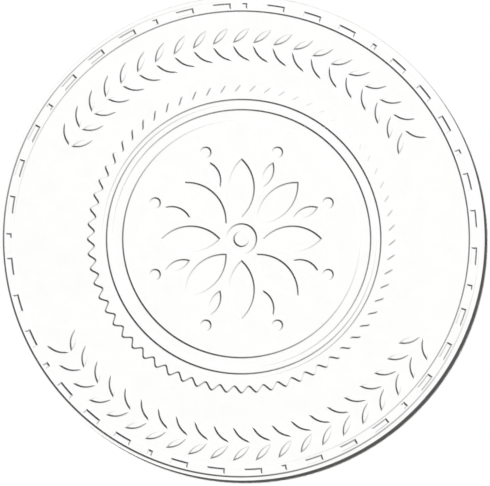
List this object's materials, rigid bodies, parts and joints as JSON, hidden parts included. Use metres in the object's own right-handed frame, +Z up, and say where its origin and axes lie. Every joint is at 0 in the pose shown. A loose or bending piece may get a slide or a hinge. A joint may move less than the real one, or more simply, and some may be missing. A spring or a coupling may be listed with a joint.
{
  "type": "seal embosser",
  "caption": "Desk seal embosser: a C-shaped iron press with a rear lever, a sprung ram and round dies, and the round embossed paper seal it makes lying beside it.",
  "frame": {"origin": "on the desk under the axis of the ram and dies", "axes": "+Y runs back along the frame to the rear of the base, +Z is up along the ram, +X is to the right seen from the front"},
  "size_m": [0.1078, 0.2349, 0.2336],
  "materials": {
    "enamel": "semi-gloss stove enamel on cast iron",
    "rubber": "moulded rubber, matte",
    "bronze": "turned bronze",
    "plated_steel": "bright zinc-plated steel",
    "black_steel": "black-oxide steel",
    "chrome": "polished chrome plate",
    "ground_steel": "ground and oiled steel",
    "spring_steel": "drawn spring steel wire",
    "die_brass": "engraved brass",
    "grip": "moulded grip, fine matte grain",
    "grip_cap": "smooth moulded cap",
    "paper": "uncoated white paper, embossed"
  },
  "bodies": {
    "frame": {"frame_casting": "enamel", "rubber_feet": "rubber", "foot_screws": "plated_steel", "guide_bush_lower": "bronze", "guide_bush_upper": "bronze", "guide_screw": "black_steel", "buffer_ring": "rubber", "lower_die_holder": "ground_steel", "lower_holder_screw": "black_steel", "lower_die": "die_brass", "lower_die_dowel": "ground_steel", "lower_die_screws": "black_steel", "pivot_pin": "ground_steel", "pivot_pin_clip": "black_steel", "depth_stop_screw": "plated_steel", "depth_stop_nut": "plated_steel", "return_spring": "spring_steel"},
    "ram": {"ram": "ground_steel", "ram_button": "black_steel", "spring_collar": "plated_steel", "ram_clip": "black_steel", "upper_die_holder": "ground_steel", "upper_holder_screw": "black_steel", "upper_die": "die_brass", "upper_die_dowel": "ground_steel", "upper_die_screws": "black_steel"},
    "lever": {"lever_arm": "chrome", "pivot_bushes": "bronze", "roller_pin": "ground_steel", "grip_ferrule": "chrome", "handle_grip": "grip", "grip_cap": "grip_cap"},
    "roller": {"roller": "ground_steel"},
    "gauge": {"gauge_plate": "plated_steel"},
    "gauge_screw": {"gauge_washer": "plated_steel", "gauge_thumb_screw": "bronze"},
    "paper_seal": {"embossed_seal": "paper"}
  },
  "joints": [
    {"name": "lever_press", "type": "hinge", "parent": "frame", "child": "lever", "pos_m": [0, -0.016, 0.12748], "axis": [-1, 0, 0], "range_deg": [0, 28]},
    {"name": "ram_slide", "type": "slide", "parent": "frame", "child": "ram", "axis": [0, 0, -1], "range_m": [0, 0.00775], "stiffness_N_per_m": 3000, "springref_m": -0.0133, "deforming": ["return_spring"]},
    {"name": "roller_spin", "type": "hinge", "parent": "lever", "child": "roller", "pos_m": [0, -0.00048, 0.13135], "axis": [1, 0, 0], "continuous": true},
    {"name": "gauge_slide", "type": "slide", "parent": "frame", "child": "gauge", "axis": [0, 1, 0], "range_m": [0, 0.009]},
    {"name": "gauge_screw_turn", "type": "hinge", "parent": "frame", "child": "gauge_screw", "pos_m": [0, 0.046, 0.025], "axis": [0, 0, 1], "range_deg": [0, 180]},
    {"name": "seal_lift", "type": "slide", "parent": "frame", "child": "paper_seal", "axis": [0, 0, 1], "range_m": [0, 0.03]}
  ],
  "couplings": [
    {"joint": "ram_slide", "follows": "lever_press", "m_per_rad": 0.015841}
  ]
}
